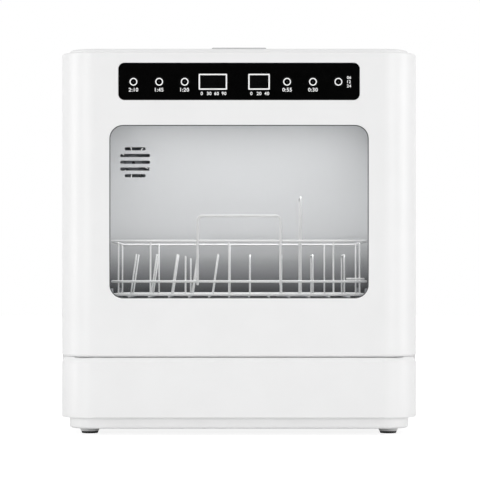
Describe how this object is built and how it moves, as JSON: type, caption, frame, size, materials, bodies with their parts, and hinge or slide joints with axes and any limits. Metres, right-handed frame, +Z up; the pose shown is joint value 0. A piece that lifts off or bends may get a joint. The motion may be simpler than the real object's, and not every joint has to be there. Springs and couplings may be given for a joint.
{
  "type": "countertop dishwasher",
  "caption": "Countertop dishwasher with a windowed drop-down door, push-button panel, sliding wire rack, spray arm, top-filled tank and pumps",
  "frame": {"origin": "middle of the footprint, on the surface the feet stand on", "axes": "+Z up, the door faces -Y, +X to the right when facing the door"},
  "size_m": [0.42, 0.43, 0.4554],
  "materials": {
    "white_plastic": "satin moulded ABS",
    "tub_plastic": "light grey moulded polypropylene",
    "grey_plastic": "mid grey moulded plastic",
    "black_plastic": "black moulded plastic",
    "gloss_black": "polished black panel",
    "lens_dark": "smoked lens",
    "rubber": "black rubber",
    "grey_rubber": "grey silicone seal",
    "steel": "bright stainless",
    "coated_wire": "steel wire with a white nylon coat",
    "board_green": "circuit board with its parts",
    "tank_plastic": "translucent grey-blue tank",
    "window_glass": "clear tempered pane"
  },
  "bodies": {
    "cabinet": {"base_pan": "white_plastic", "feet": "grey_plastic", "foot_pads": "rubber", "lower_panel": "white_plastic", "left_side_panel": "white_plastic", "right_side_panel": "white_plastic", "rear_panel": "white_plastic", "top_cover": "white_plastic", "fill_neck": "tub_plastic", "front_frame": "tub_plastic", "tub": "tub_plastic", "tub_gasket": "grey_rubber", "rack_rails": "grey_plastic", "sump": "grey_plastic", "filter_basket": "grey_plastic", "filter_plate": "steel", "wash_pump": "black_plastic", "drain_pump": "black_plastic", "riser_pipe": "black_plastic", "drain_hose": "black_plastic", "water_tank": "tank_plastic", "heater": "steel", "main_board": "board_green", "fan_housing": "black_plastic", "hinge_brackets": "steel", "hinge_pins": "steel", "latch_housing": "black_plastic", "inlet_connector": "grey_plastic", "drain_connector": "grey_plastic", "cord_gland": "black_plastic", "spray_hub": "grey_plastic", "spray_arm_cap": "grey_plastic", "panel_screws": "steel"},
    "door": {"door_shell": "white_plastic", "door_liner": "tub_plastic", "window_pane": "window_glass", "window_seal": "rubber", "control_fascia": "gloss_black", "display_lenses": "lens_dark", "control_board": "board_green", "door_pull": "grey_plastic", "latch_tongue": "steel", "hinge_arms": "steel", "liner_screws": "steel"},
    "rack": {"rack_floor": "coated_wire", "rack_frame": "coated_wire", "plate_tines": "coated_wire", "cup_tines": "coated_wire", "rack_handle": "coated_wire", "rack_glides": "grey_plastic"},
    "spray_arm": {"spray_arm": "grey_plastic"},
    "fan_wheel": {"fan_wheel": "grey_plastic"},
    "fill_lid": {"fill_lid": "white_plastic"},
    "button_1": {"button_1": "gloss_black"},
    "button_2": {"button_2": "gloss_black"},
    "button_3": {"button_3": "gloss_black"},
    "button_4": {"button_4": "gloss_black"},
    "button_5": {"button_5": "gloss_black"},
    "button_6": {"button_6": "gloss_black"}
  },
  "joints": [
    {"name": "door_hinge", "type": "hinge", "parent": "cabinet", "child": "door", "pos_m": [0, -0.2075, 0.1003], "axis": [1, 0, 0], "range_deg": [0, 90]},
    {"name": "rack_slide", "type": "slide", "parent": "cabinet", "child": "rack", "axis": [0, -1, 0], "range_m": [0, 0.13]},
    {"name": "spray_arm_spin", "type": "hinge", "parent": "cabinet", "child": "spray_arm", "pos_m": [0, -0.008, 0.152], "axis": [0, 0, 1], "continuous": true},
    {"name": "fan_spin", "type": "hinge", "parent": "cabinet", "child": "fan_wheel", "pos_m": [-0.142, 0.168, 0.34], "axis": [0, 1, 0], "continuous": true},
    {"name": "fill_lid_hinge", "type": "hinge", "parent": "cabinet", "child": "fill_lid", "pos_m": [0.095, 0.196, 0.4516], "axis": [-1, 0, 0], "range_deg": [0, 100]},
    {"name": "button_1_press", "type": "slide", "parent": "door", "child": "button_1", "axis": [0, 1, 0], "range_m": [0, 0.001], "stiffness_N_per_m": 400},
    {"name": "button_2_press", "type": "slide", "parent": "door", "child": "button_2", "axis": [0, 1, 0], "range_m": [0, 0.001], "stiffness_N_per_m": 400},
    {"name": "button_3_press", "type": "slide", "parent": "door", "child": "button_3", "axis": [0, 1, 0], "range_m": [0, 0.001], "stiffness_N_per_m": 400},
    {"name": "button_4_press", "type": "slide", "parent": "door", "child": "button_4", "axis": [0, 1, 0], "range_m": [0, 0.001], "stiffness_N_per_m": 400},
    {"name": "button_5_press", "type": "slide", "parent": "door", "child": "button_5", "axis": [0, 1, 0], "range_m": [0, 0.001], "stiffness_N_per_m": 400},
    {"name": "button_6_press", "type": "slide", "parent": "door", "child": "button_6", "axis": [0, 1, 0], "range_m": [0, 0.001], "stiffness_N_per_m": 400}
  ],
  "couplings": [
    {"joint": "rack_slide", "follows": "door_hinge", "m_per_rad": 0.0827}
  ]
}
